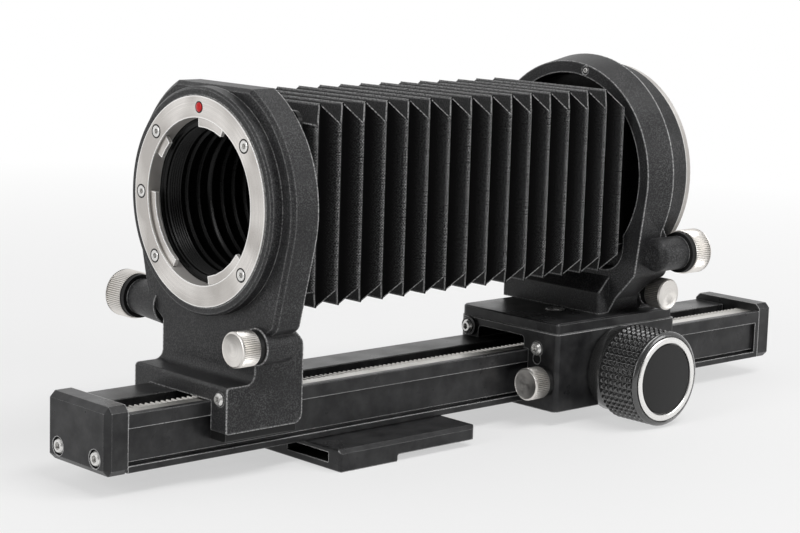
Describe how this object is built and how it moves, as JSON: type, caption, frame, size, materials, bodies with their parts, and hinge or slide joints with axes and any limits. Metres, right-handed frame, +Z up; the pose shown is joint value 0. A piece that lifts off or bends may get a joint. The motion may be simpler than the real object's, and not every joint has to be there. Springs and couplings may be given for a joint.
{
  "type": "macro bellows unit",
  "caption": "Bellows unit on a focusing rail: front standard with lens mount, pleated bellows, geared rear carriage with revolving camera mount, tripod foot.",
  "frame": {"origin": "mouth of the 1/4-20 tripod socket in the middle of the foot's front pad", "axes": "+X along the rail from the lens end to the camera end, +Z up, so the focusing knob is on -Y"},
  "size_m": [0.2977, 0.1012, 0.1194],
  "materials": {
    "bellows_cloth": "matt woven",
    "black_anodised": "satin black anodised",
    "black_casting": "black sand-textured paint",
    "nickel_steel": "bright nickel",
    "satin_steel": "fine satin",
    "screw_steel": "polished",
    "black_washer": "matt",
    "knurled_aluminium": "turned and knurled",
    "red_enamel": "glossy",
    "matt_black_metal": "matt black",
    "dark_way_strip": "satin",
    "gear_steel": "machined",
    "knob_black": "satin black",
    "knob_face_black": "fine matt",
    "polished_trim": "polished"
  },
  "bodies": {
    "rail": {"bellows": "bellows_cloth", "end_cap_screw_1": "screw_steel", "end_cap_screw_2": "screw_steel", "end_cap_screw_3": "screw_steel", "end_cap_screw_4": "screw_steel", "focus_rack": "nickel_steel", "foot_screw_1": "screw_steel", "foot_screw_2": "screw_steel", "front_end_cap": "black_anodised", "rail_beam": "black_anodised", "rear_end_cap": "black_anodised", "tripod_foot": "black_anodised"},
    "front_standard": {"alignment_dot": "red_enamel", "front_bellows_frame": "matt_black_metal", "front_far_lock_washer": "black_washer", "front_gib_far": "dark_way_strip", "front_gib_near": "dark_way_strip", "front_near_lock_washer": "black_washer", "front_standard_casting": "black_casting", "gib_screw_1": "screw_steel", "gib_screw_2": "screw_steel", "lens_bayonet_ring": "satin_steel", "lens_mount_housing": "black_casting", "lens_ring_screw_1": "screw_steel", "lens_ring_screw_2": "screw_steel", "lens_ring_screw_3": "screw_steel", "lens_ring_screw_4": "screw_steel", "lens_ring_screw_5": "screw_steel", "light_baffle_tube": "matt_black_metal"},
    "front_near_lock": {"front_near_lock_knob": "knurled_aluminium"},
    "front_far_lock": {"front_far_lock_knob": "knurled_aluminium"},
    "rear_carriage": {"arch_screw_1": "screw_steel", "base_lock_washer": "black_washer", "block_face_screw_1": "screw_steel", "block_face_screw_2": "screw_steel", "carriage_block": "black_anodised", "carriage_gib_far": "dark_way_strip", "carriage_gib_near": "dark_way_strip", "carriage_lock_washer": "black_washer", "carriage_top_plate": "black_anodised", "mount_lock_washer": "black_washer", "rear_bellows_frame": "matt_black_metal", "rear_standard_casting": "black_casting", "top_plate_screw_1": "screw_steel"},
    "carriage_lock": {"carriage_lock_knob": "knurled_aluminium"},
    "base_lock": {"base_lock_knob": "knurled_aluminium"},
    "mount_lock": {"mount_lock_knob": "knurled_aluminium"},
    "camera_mount": {"camera_bayonet_ring": "satin_steel", "camera_flange_screw_1": "screw_steel", "camera_flange_screw_2": "screw_steel", "camera_flange_screw_3": "screw_steel", "camera_flange_screw_4": "screw_steel", "camera_mount_housing": "black_casting"},
    "focus_drive": {"focus_knob": "knob_black", "focus_knob_disc": "knob_face_black", "focus_shaft": "gear_steel", "focus_trim_ring": "polished_trim"},
    "arbor": {"pinion_arbor": "gear_steel"}
  },
  "joints": [
    {"name": "front_slide", "type": "slide", "parent": "rail", "child": "front_standard", "axis": [1, 0, 0], "range_m": [-0.0285, 0.042], "deforming": ["bellows"]},
    {"name": "carriage_slide", "type": "slide", "parent": "rail", "child": "rear_carriage", "axis": [1, 0, 0], "range_m": [-0.037, 0.03], "deforming": ["bellows"]},
    {"name": "arbor_turn", "type": "hinge", "parent": "rear_carriage", "child": "arbor", "pos_m": [0.112, 0, 0.02729], "axis": [0, 1, 0], "range_deg": [-510, 415]},
    {"name": "focus_turn", "type": "hinge", "parent": "rear_carriage", "child": "focus_drive", "pos_m": [0.112, 0, 0.01649], "axis": [0, 1, 0], "range_deg": [-264, 325]},
    {"name": "front_near_lock_turn", "type": "hinge", "parent": "front_standard", "child": "front_near_lock", "pos_m": [-0.0415, -0.024, 0.0404], "axis": [-1, 0, 0], "range_deg": [0, 360]},
    {"name": "front_far_lock_turn", "type": "hinge", "parent": "front_standard", "child": "front_far_lock", "pos_m": [-0.0329, 0.0433, 0.0446], "axis": [0, 1, 0], "range_deg": [0, 360]},
    {"name": "carriage_lock_turn", "type": "hinge", "parent": "rear_carriage", "child": "carriage_lock", "pos_m": [0.081, -0.0224, 0.0144], "axis": [-1, 0, 0], "range_deg": [0, 360]},
    {"name": "base_lock_turn", "type": "hinge", "parent": "rear_carriage", "child": "base_lock", "pos_m": [0.1296, -0.028, 0.0406], "axis": [0, -1, 0], "range_deg": [0, 360]},
    {"name": "mount_lock_turn", "type": "hinge", "parent": "rear_carriage", "child": "mount_lock", "pos_m": [0.1318, -0.037, 0.0553], "axis": [1, 0, 0], "range_deg": [0, 360]},
    {"name": "camera_mount_turn", "type": "hinge", "parent": "rear_carriage", "child": "camera_mount", "pos_m": [0.128, 0, 0.0799], "axis": [1, 0, 0], "range_deg": [-90, 90]}
  ],
  "couplings": [
    {"joint": "arbor_turn", "follows": "carriage_slide", "rad_per_m": 238.1},
    {"joint": "focus_turn", "follows": "carriage_slide", "rad_per_m": -151.52}
  ]
}
